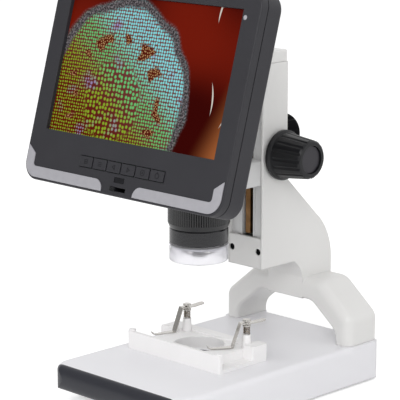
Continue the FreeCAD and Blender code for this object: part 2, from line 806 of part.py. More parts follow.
def make_lens():
    """Barrel tube, knurled ring, smooth ring, clear hood, ring light and objective."""
    tube = revolve_z([(barrel_bore_r, smooth_bottom), (barrel_r, smooth_bottom), (barrel_r, head_bottom),
                      (barrel_bore_r, head_bottom)], 0, axis_y)
    save("lens_barrel", tube)

    bore = barrel_r + barrel_gap
    low = ring_bottom
    knurl = revolve_z([(bore, low), (ring_r - 1.2, low), (ring_r, low + ring_taper), (ring_r, ring_top - 0.8),
                       (ring_r - 0.8, ring_top), (bore, ring_top)], 0, axis_y)
    grooves = []
    for step in range(ring_ribs):
        turn = 2 * math.pi * step / ring_ribs
        x = math.cos(turn) * (ring_r + 0.15)
        y = axis_y + math.sin(turn) * (ring_r + 0.15)
        groove = box(-rib_depth, rib_depth, -rib_depth, rib_depth, low + ring_taper + 0.4, ring_top - 1.4)
        groove.rotate(V(0, 0, 0), V(0, 0, 1), math.degrees(turn) + 45)
        groove.translate(V(x, y, 0))
        grooves.append(groove)
    save("knurled_ring", cut_all(knurl, grooves))

    seat = barrel_r
    smooth = revolve_z([(seat, smooth_bottom), (smooth_r - 0.4, smooth_bottom), (smooth_r, smooth_bottom + 0.4),
                        (smooth_r, ring_bottom - 1.0), (smooth_r - 0.6, ring_bottom - 0.4),
                        (seat, ring_bottom - 0.4)], 0, axis_y)
    save("smooth_ring", smooth)

    shelf = smooth_bottom - hood_wall
    hood = revolve_z([(hood_r - hood_wall, hood_bottom), (hood_r - 0.5, hood_bottom), (hood_r, hood_bottom + 0.5),
                      (hood_r, smooth_bottom), (barrel_bore_r, smooth_bottom), (barrel_bore_r, shelf),
                      (hood_r - hood_wall, shelf)], 0, axis_y)
    save("light_hood", hood)

    board_low = shelf - board_thickness
    board = revolve_z([(cell_r + 0.2, board_low), (hood_r - hood_wall - 0.2, board_low),
                       (hood_r - hood_wall - 0.2, shelf), (cell_r + 0.2, shelf)], 0, axis_y)
    save("ring_light_board", board)
    leds = []
    for step in range(led_count):
        turn = 2 * math.pi * (step + 0.5) / led_count
        place = V(math.cos(turn) * led_circle_r, axis_y + math.sin(turn) * led_circle_r, board_low - led_height)
        leds.append(rod(place, place + V(0, 0, led_height), led_r))
    save("ring_light_leds", *leds)

    seat_z = cell_bottom + 2.5
    cell = revolve_z([(lens_r - 1.5, cell_bottom), (cell_r, cell_bottom), (cell_r, smooth_bottom + 4),
                      (barrel_bore_r, smooth_bottom + 4), (barrel_bore_r, smooth_bottom + 8),
                      (lens_r, smooth_bottom + 8), (lens_r, seat_z), (lens_r - 1.5, seat_z)], 0, axis_y)
    save("lens_cell", cell)
    rim_low = seat_z + lens_seat_gap
    rim_high = rim_low + lens_rim
    bow = (lens_r ** 2 + lens_crown ** 2) / (2 * lens_crown)
    blank = rod(V(0, axis_y, rim_low - lens_crown), V(0, axis_y, rim_high + lens_crown), lens_r)
    below = Part.makeSphere(bow, V(0, axis_y, rim_low - lens_crown + bow))
    above = Part.makeSphere(bow, V(0, axis_y, rim_high + lens_crown - bow))
    save("objective_lens", blank.common(below).common(above))


# Screen
def make_screen():
    """Front bezel with its openings, back casing, panel, board and the small front pieces."""
    joint = bezel_front + bezel_thickness
    rim = slab(-casing_half, casing_half, casing_h0, casing_h1, bezel_front, joint - seam_width, casing_corner_r)
    rim = rounded(rim, 1.0, lambda e: e.BoundBox.YMax < bezel_front + 0.01)
    seam = slab(-casing_half + seam_depth, casing_half - seam_depth, casing_h0 + seam_depth,
                casing_h1 - seam_depth, joint - seam_width, joint, casing_corner_r - seam_depth)
    rim = fuse_all([rim, seam])
    window = box(-picture_half, picture_half, bezel_front - 1, bezel_front + bezel_thickness + 1, 0, picture_height)
    key_half = button_width / 2 + button_gap
    key_rise = button_height / 2 + button_gap
    key_middles = [(index - (button_count - 1) / 2) * button_pitch for index in range(button_count)]
    key_wells = [box(middle - key_half, middle + key_half, bezel_front - 1, joint + 1,
                     button_middle_h - key_rise, button_middle_h + key_rise) for middle in key_middles]
    switch_well = box(-switch_half, switch_half, bezel_front - 1, bezel_front + bezel_thickness + 1,
                      switch_h - switch_height / 2, switch_h + switch_height / 2)
    receiver_well = box(-receiver_half, receiver_half, bezel_front - 1, bezel_front + bezel_thickness + 1,
                        receiver_h - receiver_height / 2, receiver_h + receiver_height / 2)
    light_well = rod(V(status_x, bezel_front - 1, status_h), V(status_x, bezel_front + 8, status_h), status_r)
    seats = [trim_solid(side, bezel_front, trim_depth) for side in (-1, 1)]
    wells = key_wells + [window, switch_well, receiver_well, light_well]
    save("screen_bezel", on_screen(cut_all(rim, wells + seats)))
    save("corner_trim_left", on_screen(trim_solid(-1, bezel_front - trim_proud, trim_depth + trim_proud)))
    save("corner_trim_right", on_screen(trim_solid(1, bezel_front - trim_proud, trim_depth + trim_proud)))

    back = slab(-casing_half, casing_half, casing_h0, casing_h1, joint, casing_depth, casing_corner_r)
    back = rounded(back, casing_edge_r, lambda e: e.BoundBox.YMin > casing_depth - 0.01)
    hollow = slab(-casing_half + casing_wall, casing_half - casing_wall, casing_h0 + casing_wall,
                  casing_h1 - casing_wall, joint - 1, casing_depth - casing_wall, casing_corner_r - casing_wall)
    save("back_casing", on_screen(back.cut(hollow)))

    tray = box(-picture_half - 4, picture_half + 4, joint, joint + 1.2, -4, picture_height + 4)
    panel = fuse_all([box(-picture_half + glass_gap, picture_half - glass_gap, picture_sink, joint,
                          glass_gap, picture_height - glass_gap), tray])
    save("lcd_panel", on_screen(panel))
    board_y = joint + 3.2
    board_low = casing_h0 + board_inset
    board = box(-board_half, board_half, board_y, board_y + circuit_thickness, board_low, board_rise)
    pillar_x = board_half - pillar_inset
    pillars = [rod(V(x, board_y + circuit_thickness, h), V(x, casing_depth - casing_wall, h), pillar_r)
               for x in (-pillar_x, pillar_x) for h in (board_low + pillar_inset, board_rise - pillar_inset)]
    save("main_board", on_screen(board))
    save("board_pillars", *[on_screen(p) for p in pillars])

    for index, middle in enumerate(key_middles):
        key = box(middle - button_width / 2, middle + button_width / 2, bezel_front - button_proud,
                  bezel_front - button_proud + button_depth, button_middle_h - button_height / 2,
                  button_middle_h + button_height / 2)
        key = rounded(key, 0.6, lambda e: runs_along(e, V(0, 1, 0)))
        stem = rod(V(middle, bezel_front - button_proud + button_depth, button_middle_h),
                   V(middle, board_y - button_travel - 0.3, button_middle_h), 1.5)
        save("button_%d" % (index + 1), on_screen(fuse_all([key, stem])))
    knob_left = -switch_half + switch_gap
    knob = box(knob_left, knob_left + switch_knob_width, bezel_front - switch_proud, bezel_front + bezel_thickness,
               switch_h - switch_height / 2 + switch_gap / 2, switch_h + switch_height / 2 - switch_gap / 2)
    save("slide_switch", on_screen(knob))
    save("receiver_window", on_screen(box(-receiver_half, receiver_half, bezel_front + 0.4,
                                          bezel_front + bezel_thickness, receiver_h - receiver_height / 2,
                                          receiver_h + receiver_height / 2)))
    save("status_light", on_screen(rod(V(status_x, bezel_front + 0.1, status_h),
                                       V(status_x, bezel_front + bezel_thickness, status_h), status_r)))


def trim_solid(side, y0, thickness):
    """L-shaped corner strip that follows the casing's lower corner."""
    out = casing_half - trim_inset
    low = casing_h0 + trim_inset
    corner = casing_corner_r - trim_inset
    inner = out - trim_width
    shelf = low + trim_width
    round_in = 2.5
    diag = corner * (1 - math.sqrt(0.5))
    small = round_in * (1 - math.sqrt(0.5))
    outline = [(trim_gap_half, low), (out - corner, low), ((out - diag, low + diag), (out, low + corner)),
               (out, trim_leg_h), (inner, trim_leg_h - trim_end_slant * 0.8),
               (inner, shelf + round_in), ((inner - small, shelf + small), (inner - round_in, shelf)),
               (trim_gap_half + trim_end_slant, shelf),
               ((trim_gap_half + 1.8, shelf - 2.0), (trim_gap_half, low + 1.2))]
    strip = front_prism(outline, y0, y0 + thickness)
    return strip if side > 0 else mirrored(strip)


# Slide holder and clips
def make_stage():
    """Tray with a front wall, raised platform, notches at the sides and a round light hole."""
    z0 = base_top
    floor = box(stage_left, stage_right, stage_front, stage_rear, z0, z0 + stage_floor)
    table = box(-platform_half, platform_half, stage_front, stage_rear, z0, z0 + platform_height)
    wall = box(stage_left, stage_right, stage_front, stage_front + stage_wall, z0, z0 + stage_wall_height)
    ledge = box(-platform_half, platform_half, stage_rear - stage_ledge_depth, stage_rear, z0,
                z0 + stage_ledge_height)
    left_block = box(stage_left, -platform_half, stage_rear - stage_block_depth, stage_rear, z0,
                     z0 + stage_left_height)
    left_block = rounded(left_block, stage_left_r, lambda e: runs_along(e, V(0, 1, 0))
                         and e.CenterOfMass.x < stage_left + 1 and e.CenterOfMass.z > z0 + 1)
    blocks = [left_block,
              box(platform_half, stage_right, stage_rear - stage_block_depth, stage_rear, z0,
                  z0 + stage_block_height)]
    holder = fuse_all([floor, table, wall, ledge] + blocks)
    holder = rounded(holder, stage_corner_r,
                     lambda e: runs_along(e, V(0, 0, 1)) and (e.CenterOfMass.x > stage_right - 0.5
                                                              or e.CenterOfMass.x < stage_left + 0.5
                                                              and e.CenterOfMass.y < stage_front + 1))
    posts = [rod(V(x, stage_front + stage_post_r, z0),
                 V(x, stage_front + stage_post_r, z0 + stage_wall_height + stage_post_rise), stage_post_r)
             for x in (stage_left + stage_post_r, stage_right - stage_post_r)]
    light = rod(V(0, axis_y, z0 - 1), V(0, axis_y, z0 + 20), stage_hole_r)
    sockets = [rod(V(x, clip_y, stage_top), V(x, clip_y, stage_top + 20), clip_post_r + clip_socket_gap)
               for x in (-clip_x, clip_x)]
    save("stage_holder", cut_all(fuse_all([holder] + posts), [light] + sockets))

    posts = []
    for x in (-clip_x, clip_x):
        post = Part.makeCone(clip_post_r, clip_post_top_r, post_top - stage_top, V(x, clip_y, stage_top))
        stud = rod(V(x, clip_y, post_top), V(x, clip_y, spring_top - 0.3), clip_stud_r)
        posts.append(fuse_all([post, stud]))
    save("clip_posts", *posts)


def make_clip(side_name, x, turn):
    """Spring clip: coil round the stud, turning hub, and a bent strip held in its slot."""
    middle = V(x, clip_y, 0)
    coil = spring_coil()
    coil.translate(middle + V(0, 0, post_top))
    save("clip_spring_" + side_name, coil)

    hub_low = spring_top
    hub = rod(V(x, clip_y, hub_low), V(x, clip_y, hub_low + hub_height), hub_r)
    hub = rounded(hub, 0.5, lambda e: at_level(e, hub_low + hub_height))
    pin_z = hub_low + hub_height / 2
    strip_low = pin_z - clip_strip_thickness / 2
    gate = box(x - 5, x + 5, clip_y - hub_r - 1, clip_y + hub_r + 1, strip_low - 1.0, strip_low + 1.6)
    core = box(x - 0.9, x + 0.9, clip_y - 0.9, clip_y + 0.9, strip_low - 1.0, strip_low + 1.6)
    pin = rod(V(x - hub_r + 0.3, clip_y, pin_z), V(x + hub_r - 0.3, clip_y, pin_z), clip_pin_r)
    hub = fuse_all([hub.cut(gate.cut(core)), pin])
    flat = clip_outline(strip_low)
    half_wide = clip_strip_width / 2
    strip = side_prism(flat, x - half_wide, x + half_wide)
    eye = box(x - clip_eye_half, x + clip_eye_half, clip_y - clip_eye_half, clip_y + clip_eye_half,
              strip_low - 2, strip_low + 3)
    knuckles = [rod(V(x + side * clip_eye_half, clip_y, pin_z), V(x + side * clip_knuckle_end, clip_y, pin_z),
                    clip_knuckle_r) for side in (-1, 1)]
    bore = rod(V(x - 4, clip_y, pin_z), V(x + 4, clip_y, pin_z), clip_pin_r + clip_pin_gap)
    strip = fuse_all([strip.cut(eye).common(front_taper(x, strip_low))] + knuckles).cut(bore)
    for piece, name in ((hub, "clip_hub_"), (strip, "clip_strip_")):
        piece.rotate(middle, V(0, 0, 1), -turn)
        save(name + side_name, piece)


def spring_coil():
    """Coil spring: six-sided wire swept along short straight runs of a rising circle."""
    low = spring_wire_r
    rise = spring_height - 2 * spring_wire_r
    count = int(spring_turns * spring_runs)
    spine = []
    for i in range(count + 1):
        turn = 2 * math.pi * i / spring_runs
        spine.append(V(spring_r * math.cos(turn), spring_r * math.sin(turn), low + rise * i / count))
    outward = (spine[1] - spine[0]).cross(V(0, 0, 1)).normalize()
    upward = (spine[1] - spine[0]).cross(outward).normalize()
    corners = []
    for i in range(6):
        turn = math.pi * i / 3
        corners.append(spine[0] + outward * (spring_wire_r * math.cos(turn))
                       + upward * (spring_wire_r * math.sin(turn)))
    sweep = Part.BRepOffsetAPI.MakePipeShell(Part.makePolygon(spine))
    sweep.setTransitionMode(1)
    sweep.add(Part.makePolygon(corners + corners[:1]))
    sweep.build()
    sweep.makeSolid()
    return sweep.shape()


def clip_outline(strip_low):
    """Side outline of the strip: tail, level middle, slope, finger and curled tip."""
    t = clip_strip_thickness
    level = strip_low + t / 2
    finger = stage_top + clip_rest_gap + t / 2
    tip_y = clip_y - clip_reach
    line = [(clip_y + clip_tail, level + 1.4), (clip_y + clip_flat, level), (clip_y - clip_flat, level),
            (clip_y - clip_bend, finger), (tip_y + 2.4, finger), (tip_y + 0.8, finger + 0.6),
            (tip_y, finger + 1.9)]
    return ribbon(line, t)


def ribbon(line, thickness):
    """Outline of a bent sheet of even thickness around a line of points."""
    sides = ([], [])
    for i, (a, b) in enumerate(line):
        before = line[i - 1] if i else None
        after = line[i + 1] if i + 1 < len(line) else None
        ways = []
        for start, end in ((before, (a, b)), ((a, b), after)):
            if start and end:
                length = math.hypot(end[0] - start[0], end[1] - start[1])
                ways.append(((end[0] - start[0]) / length, (end[1] - start[1]) / length))
        mx = sum(w[0] for w in ways)
        my = sum(w[1] for w in ways)
        size = math.hypot(mx, my)
        nx, ny = -my / size, mx / size
        reach = thickness / 2 / (ways[0][0] * mx / size + ways[0][1] * my / size)
        sides[0].append((a + nx * reach, b + ny * reach))
        sides[1].append((a - nx * reach, b - ny * reach))
    return sides[0] + sides[1][::-1]


def front_taper(x, strip_low):
    """Plan outline of the strip: wide at the hub, narrow at the finger, rounded at the tail."""
    w = clip_strip_width / 2
    n = w * 0.55
    y0 = clip_y - clip_reach - 1
    y1 = clip_y - clip_bend
    y2 = clip_y + clip_tail
    plan = [V(x - n, y0, 0), V(x + n, y0, 0), V(x + w, y1 + 1, 0), V(x + w, y2 - w, 0),
            (V(x, y2, 0), V(x - w, y2 - w, 0)), V(x - w, y1 + 1, 0)]
    return prism(plan, V(0, 0, strip_low + 10))


make_base()
make_arm()
make_slideway()
make_carriage()
make_drive()
make_lock()
make_head()
make_lens()
make_screen()
make_stage()
make_clip("left", -clip_x, clip_turn_left)
make_clip("right", clip_x, clip_turn_right)
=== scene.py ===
# %% [markdown]
# # A digital microscope, dressed for its portrait
# The solids of this microscope come from an engineering model in real metres: a flat base,
# an arched arm, a column with a rack-and-pinion focus, a lens barrel with a ring of lamps, a
# tilted screen and a slide holder with two spring clips. Here they get their looks. Every
# piece already stands in its place, so the work is finishes, light, the camera, and the small
# parts that a solid modeller leaves plain.

# %% Load the model
import bpy
import math
from mathutils import Vector, Matrix


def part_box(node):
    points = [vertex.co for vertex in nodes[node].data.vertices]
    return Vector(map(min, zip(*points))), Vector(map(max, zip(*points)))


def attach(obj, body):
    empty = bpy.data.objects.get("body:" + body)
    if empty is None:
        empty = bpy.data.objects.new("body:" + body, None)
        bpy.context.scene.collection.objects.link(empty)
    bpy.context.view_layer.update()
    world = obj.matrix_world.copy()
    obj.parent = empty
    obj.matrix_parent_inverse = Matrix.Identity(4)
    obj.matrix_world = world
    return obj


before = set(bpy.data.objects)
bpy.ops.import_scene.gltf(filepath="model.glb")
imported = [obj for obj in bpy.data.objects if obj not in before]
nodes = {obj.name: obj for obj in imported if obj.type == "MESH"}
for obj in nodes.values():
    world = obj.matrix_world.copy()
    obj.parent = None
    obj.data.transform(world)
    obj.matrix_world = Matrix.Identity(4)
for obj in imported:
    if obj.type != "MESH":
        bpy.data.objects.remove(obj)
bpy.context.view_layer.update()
mm = 0.001
print("pieces in the model:", len(nodes))

# %% [markdown]
# ## The camera
# The photograph was taken from the right front, a little above the object, with a long lens:
# the far edges of the screen are hardly shorter than the near ones. A long lens from more than
# a metre away gives that calm perspective. The camera looks at a point beside the column and
# its rotation follows from that point, so only two places have to be known.

# %% Camera
camera_place = Vector((0.8419, -0.8619, 0.3930))
camera_target = Vector((-0.0428, 0.0265, 0.1216))
camera_data = bpy.data.cameras.new("portrait")
camera_data.lens = 167.4
camera_data.sensor_width = 36.0
camera_data.clip_start = 0.05
camera_data.clip_end = 20.0
camera = bpy.data.objects.new("portrait", camera_data)
bpy.context.scene.collection.objects.link(camera)
camera.location = camera_place
camera.rotation_euler = (camera_target - camera_place).to_track_quat("-Z", "Y").to_euler()
bpy.context.scene.camera = camera
bpy.context.scene.view_settings.view_transform = "Standard"
print("camera to object, metres:", round((camera_target - camera_place).length, 3))

# %% [markdown]
# ## Small helpers for finishes
# Almost every finish here is one Principled shader with a little texture: a mottle that keeps
# the colour from being perfectly even, a roughness that varies with it, and a fine bump. These
# helpers write those few nodes, so that each finish below only says what is special about it.
# A Bevel node feeds the bump: it bends the light along sharp edges by a fraction of a
# millimetre, the small round that every moulded or painted edge has.
# The patterns read Object coordinates, which stay with the piece when it moves.

# %% Finish helpers
def new_finish(name, color, roughness, **sockets):
    """A Principled finish; further shader sockets are given by name with _ for spaces."""
    finish = bpy.data.materials.new(name)
    finish.use_nodes = True
    shader = finish.node_tree.nodes["Principled BSDF"]
    shader.inputs["Base Color"].default_value = (*color, 1.0)
    shader.inputs["Roughness"].default_value = roughness
    for socket, value in sockets.items():
        shader.inputs[socket.replace("_", " ")].default_value = value
    return finish


def add_node(finish, kind, **settings):
    """Add a node and set its properties; settings that name a socket set its value."""
    made = finish.node_tree.nodes.new(kind)
    for key, value in settings.items():
        label = key.replace("_", " ")
        if label in made.inputs:
            made.inputs[label].default_value = value
        else:
            setattr(made, key, value)
    return made


def link(finish, source, target):
    """Join two sockets."""
    finish.node_tree.links.new(source, target)


def shader_of(finish):
    """The Principled node of a finish."""
    return finish.node_tree.nodes["Principled BSDF"]


def object_place(finish):
    """The socket that gives each point's place on its object."""
    return add_node(finish, "ShaderNodeTexCoord").outputs["Object"]


def add_mottle(finish, color, other, scale):
    """Let the base colour wander gently between two near colours."""
    noise = add_node(finish, "ShaderNodeTexNoise", Scale=scale, Detail=3.0)
    ramp = add_node(finish, "ShaderNodeValToRGB")
    low, high = ramp.color_ramp.elements
    low.position, low.color = 0.3, (*color, 1.0)
    high.position, high.color = 0.7, (*other, 1.0)
    link(finish, object_place(finish), noise.inputs["Vector"])
    link(finish, noise.outputs["Fac"], ramp.inputs["Fac"])
    link(finish, ramp.outputs["Color"], shader_of(finish).inputs["Base Color"])


def add_grain(finish, scale, height, strength, rough, edge=0.4 * mm):
    """Fine raised grain, softened edges, and a roughness between two values that follows it."""
    noise = add_node(finish, "ShaderNodeTexNoise", Scale=scale, Detail=2.0)
    bump = add_node(finish, "ShaderNodeBump", Strength=strength, Distance=height)
    soft_edge = add_node(finish, "ShaderNodeBevel", samples=6, Radius=edge)
    spread = add_node(finish, "ShaderNodeMapRange", To_Min=rough[0], To_Max=rough[1])
    link(finish, object_place(finish), noise.inputs["Vector"])
    link(finish, noise.outputs["Fac"], bump.inputs["Height"])
    link(finish, soft_edge.outputs["Normal"], bump.inputs["Normal"])
    link(finish, bump.outputs["Normal"], shader_of(finish).inputs["Normal"])
    link(finish, noise.outputs["Fac"], spread.inputs["Value"])
    link(finish, spread.outputs["Result"], shader_of(finish).inputs["Roughness"])


dressed = []


def dress(finish, *names):
    """Put one finish on the whole of each named piece of the model, and note the pieces."""
    for name in names:
        slots = nodes[name].data.materials
        slots.clear()
        slots.append(finish)
    dressed.extend(names)


# %% [markdown]
# ## White enamel, white mouldings
# The arm and the column are cast and then painted: the paint is satin, with a very fine orange
# peel. The base is a polished moulding of a slightly cooler white, and the slide holder is a
# plain satin moulding. Three whites that differ a little look more real than one.

# %% White finishes
arm_enamel = new_finish("arm_enamel", (0.735, 0.729, 0.717), 0.36, Coat_Weight=0.15)
add_mottle(arm_enamel, (0.728, 0.722, 0.710), (0.744, 0.738, 0.726), scale=30.0)
add_grain(arm_enamel, scale=900.0, height=0.03 * mm, strength=0.35, rough=(0.34, 0.44),
          edge=1.2 * mm)

base_white = new_finish("base_white", (0.81, 0.805, 0.835), 0.30, Specular_IOR_Level=0.22,
                        Coat_Weight=0.05)
add_mottle(base_white, (0.785, 0.780, 0.808), (0.800, 0.795, 0.820), scale=14.0)
add_grain(base_white, scale=500.0, height=0.02 * mm, strength=0.25, rough=(0.28, 0.38),
          edge=1.2 * mm)

holder_white = new_finish("holder_white", (0.86, 0.85, 0.85), 0.38)
add_mottle(holder_white, (0.85, 0.84, 0.84), (0.87, 0.86, 0.86), scale=60.0)
add_grain(holder_white, scale=1400.0, height=0.03 * mm, strength=0.3, rough=(0.38, 0.48),
          edge=0.6 * mm)

# The rails and the carriage take the arm's white enamel darkened to a grey: painted shade for
# the shade they sit in under the screen.
shaded_slide_grey = new_finish("shaded_slide_grey", (0.68, 0.68, 0.68), 0.35)
add_mottle(shaded_slide_grey, (0.67, 0.67, 0.67), (0.69, 0.69, 0.69), scale=40.0)
add_grain(shaded_slide_grey, scale=900.0, height=0.02 * mm, strength=0.3, rough=(0.3, 0.42))

dress(arm_enamel, "arm_casting", "column_cap", "front_plate", "head_housing")
dress(shaded_slide_grey, "carriage_block", "guide_rail_left", "guide_rail_right")
dress(base_white, "base_shell")
dress(holder_white, "stage_holder", "clip_posts")
print("pieces dressed:", len(dressed), "of", len(nodes))

# %% [markdown]
# ## Dark mouldings
# The screen's shell and the nose of the base are dark grey with a faint violet cast, finely
# spark-textured. The knobs are nearly black and a little glossier. The lock knob at the rear
# gets a far darker, less glossy black than the knobs: painted shade for the shade it sits in.
# A dark plastic gets most of its light from its gloss, so its own colour is darker than it
# looks, and a lower specular level keeps the white room from veiling it. The smooth ring of the
# lens is turned: fine level bands raise its surface and change its tone.

# %% Dark finishes
shell_grey = new_finish("shell_grey", (0.0235, 0.0230, 0.0280), 0.40, Specular_IOR_Level=0.40)
add_mottle(shell_grey, (0.0222, 0.0217, 0.0266), (0.0250, 0.0245, 0.0297), scale=50.0)
add_grain(shell_grey, scale=2600.0, height=0.04 * mm, strength=0.35, rough=(0.42, 0.54))

nose_grey = new_finish("nose_grey", (0.023, 0.0242, 0.032), 0.32, Specular_IOR_Level=0.40)
add_mottle(nose_grey, (0.0216, 0.0226, 0.0302), (0.0246, 0.0258, 0.0338), scale=50.0)
add_grain(nose_grey, scale=2200.0, height=0.03 * mm, strength=0.3, rough=(0.32, 0.42))

grip_black = new_finish("grip_black", (0.008, 0.0082, 0.0098), 0.30, Specular_IOR_Level=0.34)
add_mottle(grip_black, (0.0072, 0.0074, 0.0088), (0.0095, 0.0097, 0.0115), scale=80.0)
add_grain(grip_black, scale=1800.0, height=0.02 * mm, strength=0.3, rough=(0.28, 0.42))

# Painted shade: this black is the knobs' black made darker and less glossy for the rear lock
# knob. The front plate's screws take the same black.
shaded_lock_black = new_finish("shaded_lock_black", (0.002, 0.002, 0.003), 0.40, Specular_IOR_Level=0.03)
add_mottle(shaded_lock_black, (0.0018, 0.0018, 0.0026), (0.0030, 0.0030, 0.0040), scale=80.0)
add_grain(shaded_lock_black, scale=1800.0, height=0.02 * mm, strength=0.3, rough=(0.36, 0.48))

ring_black = new_finish("ring_black", (0.006, 0.006, 0.0075), 0.20, Specular_IOR_Level=0.60)
add_grain(ring_black, scale=2000.0, height=0.02 * mm, strength=0.3, rough=(0.16, 0.26),
          edge=0.1 * mm)

band_grey = new_finish("band_grey", (0.012, 0.012, 0.015), 0.20, Specular_IOR_Level=0.60)
turned = add_node(band_grey, "ShaderNodeTexWave", bands_direction="Z", Scale=350.0)
turned_bump = add_node(band_grey, "ShaderNodeBump", Strength=0.6, Distance=0.06 * mm)
turned_tone = add_node(band_grey, "ShaderNodeValToRGB")
turned_tone.color_ramp.elements[0].color = (0.007, 0.007, 0.009, 1.0)
turned_tone.color_ramp.elements[1].color = (0.022, 0.022, 0.026, 1.0)
link(band_grey, object_place(band_grey), turned.inputs["Vector"])
link(band_grey, turned.outputs["Fac"], turned_bump.inputs["Height"])
link(band_grey, turned.outputs["Fac"], turned_tone.inputs["Fac"])
link(band_grey, turned_tone.outputs["Color"], shader_of(band_grey).inputs["Base Color"])
link(band_grey, turned_bump.outputs["Normal"], shader_of(band_grey).inputs["Normal"])

cap_grey = new_finish("cap_grey", (0.030, 0.028, 0.034), 0.30, Specular_IOR_Level=0.35)
add_grain(cap_grey, scale=1600.0, height=0.02 * mm, strength=0.3, rough=(0.25, 0.36))

smoked = new_finish("smoked", (0.010, 0.010, 0.012), 0.16, Specular_IOR_Level=0.40)
add_grain(smoked, scale=700.0, height=0.01 * mm, strength=0.1, rough=(0.14, 0.20))

foot_rubber = new_finish("foot_rubber", (0.022, 0.022, 0.022), 0.75)
add_grain(foot_rubber, scale=1500.0, height=0.05 * mm, strength=0.5, rough=(0.68, 0.82))

dress(shell_grey, "screen_bezel", "back_casing", *("button_%d" % n for n in range(1, 7)))
dress(nose_grey, "nose_strip")
dress(grip_black, "focus_knob_left", "focus_knob_right", "slide_switch")
dress(shaded_lock_black, "rear_lock_knob", "front_plate_screws")
dress(cap_grey, "focus_knob_cap_left", "focus_knob_cap_right")
dress(ring_black, "knurled_ring", "lens_barrel", "lens_cell", "base_bottom_cover")
dress(band_grey, "smooth_ring")
dress(smoked, "receiver_window", "light_window")
dress(foot_rubber, "rubber_feet")
print("pieces dressed:", len(dressed), "of", len(nodes))

# %% [markdown]
# ## Metals
# The rack, the pinion and the bushes are brass, given a dark brown. The clips are polished
# spring steel, the coil springs are darker, and the screws are plain bright steel. The base
# colour of a metal is the colour of its reflection: in a white room a true brass would look
# like pale gold, so the brown here is far below it. That darkness is partly the brass's own
# colour and partly painted shade of the channel in the column where the rack sits. The
# screen's silver trims are painted plastic, so they are metallic only by a quarter.

# %% Metal finishes
# Part of this brass's darkness is painted shade of the column's channel.
rack_brass = new_finish("rack_brass", (0.17, 0.090, 0.036), 0.38, Metallic=1.0)
add_mottle(rack_brass, (0.13, 0.068, 0.027), (0.22, 0.120, 0.052), scale=120.0)
add_grain(rack_brass, scale=2500.0, height=0.03 * mm, strength=0.4, rough=(0.28, 0.44))

clip_steel = new_finish("clip_steel", (0.56, 0.54, 0.51), 0.14, Metallic=1.0)
add_grain(clip_steel, scale=1200.0, height=0.01 * mm, strength=0.2, rough=(0.08, 0.18),
          edge=0.2 * mm)

spring_steel = new_finish("spring_steel", (0.30, 0.26, 0.22), 0.24, Metallic=1.0)
add_grain(spring_steel, scale=1600.0, height=0.01 * mm, strength=0.2, rough=(0.20, 0.32))

screw_steel = new_finish("screw_steel", (0.60, 0.60, 0.62), 0.28, Metallic=1.0)
add_grain(screw_steel, scale=1600.0, height=0.01 * mm, strength=0.3, rough=(0.22, 0.36))

trim_silver = new_finish("trim_silver", (0.41, 0.405, 0.435), 0.36, Metallic=0.25)
add_mottle(trim_silver, (0.395, 0.390, 0.420), (0.425, 0.420, 0.450), scale=200.0)
add_grain(trim_silver, scale=4200.0, height=0.02 * mm, strength=0.3, rough=(0.32, 0.42))

dress(rack_brass, "focus_rack", "pinion_gear", "shaft_bushes")
dress(clip_steel, "clip_strip_left", "clip_strip_right", "clip_hub_left", "clip_hub_right")
dress(spring_steel, "clip_spring_left", "clip_spring_right")
dress(screw_steel, "base_cover_screws", "arm_screws", "pinion_shaft", "board_pillars")
dress(trim_silver, "corner_trim_left", "corner_trim_right", "status_light")
print("pieces dressed:", len(dressed), "of", len(nodes))

# %% [markdown]
# ## Boards, lamps and lenses
# Inside the head and the skirt of the barrel sit circuit boards and small white lamps. They are
# seen only past an edge or through the clear skirt, but an inner part with a finish of its own
# makes what shows through look deep.

# %% Inner finishes
board_green = new_finish("board_green", (0.030, 0.130, 0.060), 0.42)
add_mottle(board_green, (0.024, 0.110, 0.050), (0.040, 0.150, 0.072), scale=300.0)
add_grain(board_green, scale=1800.0, height=0.04 * mm, strength=0.4, rough=(0.36, 0.50))

lamp_white = new_finish("lamp_white", (0.90, 0.90, 0.84), 0.30,
                        Emission_Color=(1.0, 0.98, 0.94, 1.0), Emission_Strength=0.6)
add_grain(lamp_white, scale=1500.0, height=0.02 * mm, strength=0.2, rough=(0.26, 0.36))

skirt_clear = new_finish("skirt_clear", (0.945, 0.94, 0.975), 0.30, IOR=1.36,
                         Transmission_Weight=0.85)
add_grain(skirt_clear, scale=500.0, height=0.04 * mm, strength=0.4, rough=(0.24, 0.38))

lamp_board = new_finish("lamp_board", (0.72, 0.72, 0.75), 0.35)
add_mottle(lamp_board, (0.70, 0.70, 0.73), (0.74, 0.74, 0.77), scale=300.0)
add_grain(lamp_board, scale=1800.0, height=0.04 * mm, strength=0.4, rough=(0.30, 0.42))

coated_glass = new_finish("coated_glass", (0.10, 0.11, 0.20), 0.03, IOR=1.52,
                          Transmission_Weight=0.5)
add_grain(coated_glass, scale=300.0, height=0.004 * mm, strength=0.1, rough=(0.02, 0.05))

dress(board_green, "light_board", "camera_board", "main_board")
dress(lamp_board, "ring_light_board")
dress(lamp_white, "ring_light_leds")
dress(skirt_clear, "light_hood")
dress(coated_glass, "objective_lens")
print("pieces dressed:", len(dressed), "of", len(nodes))

# %% [markdown]
# ## The picture on the screen
# The screen shows what such an instrument is bought for: a stained slice of a plant's stem. The
# slice is a fine mosaic of cells that glow green, and cyan towards the light, between dark red
# walls. A Voronoi texture makes such cells, and a soft gradient with slow noise colours them.
# The picture's own coordinates are millimetres on the panel: one vector step puts the zero at
# the middle of the picture's lower edge and the next undoes the screen's tilt, so that x runs
# across and y runs up.

# %% Picture coordinates
screen_tilt = math.radians(16.0)
picture_low_middle = Vector((0.0, -0.07942, 0.18033))
picture = bpy.data.materials.new("stem_slice_picture")
picture.use_nodes = True


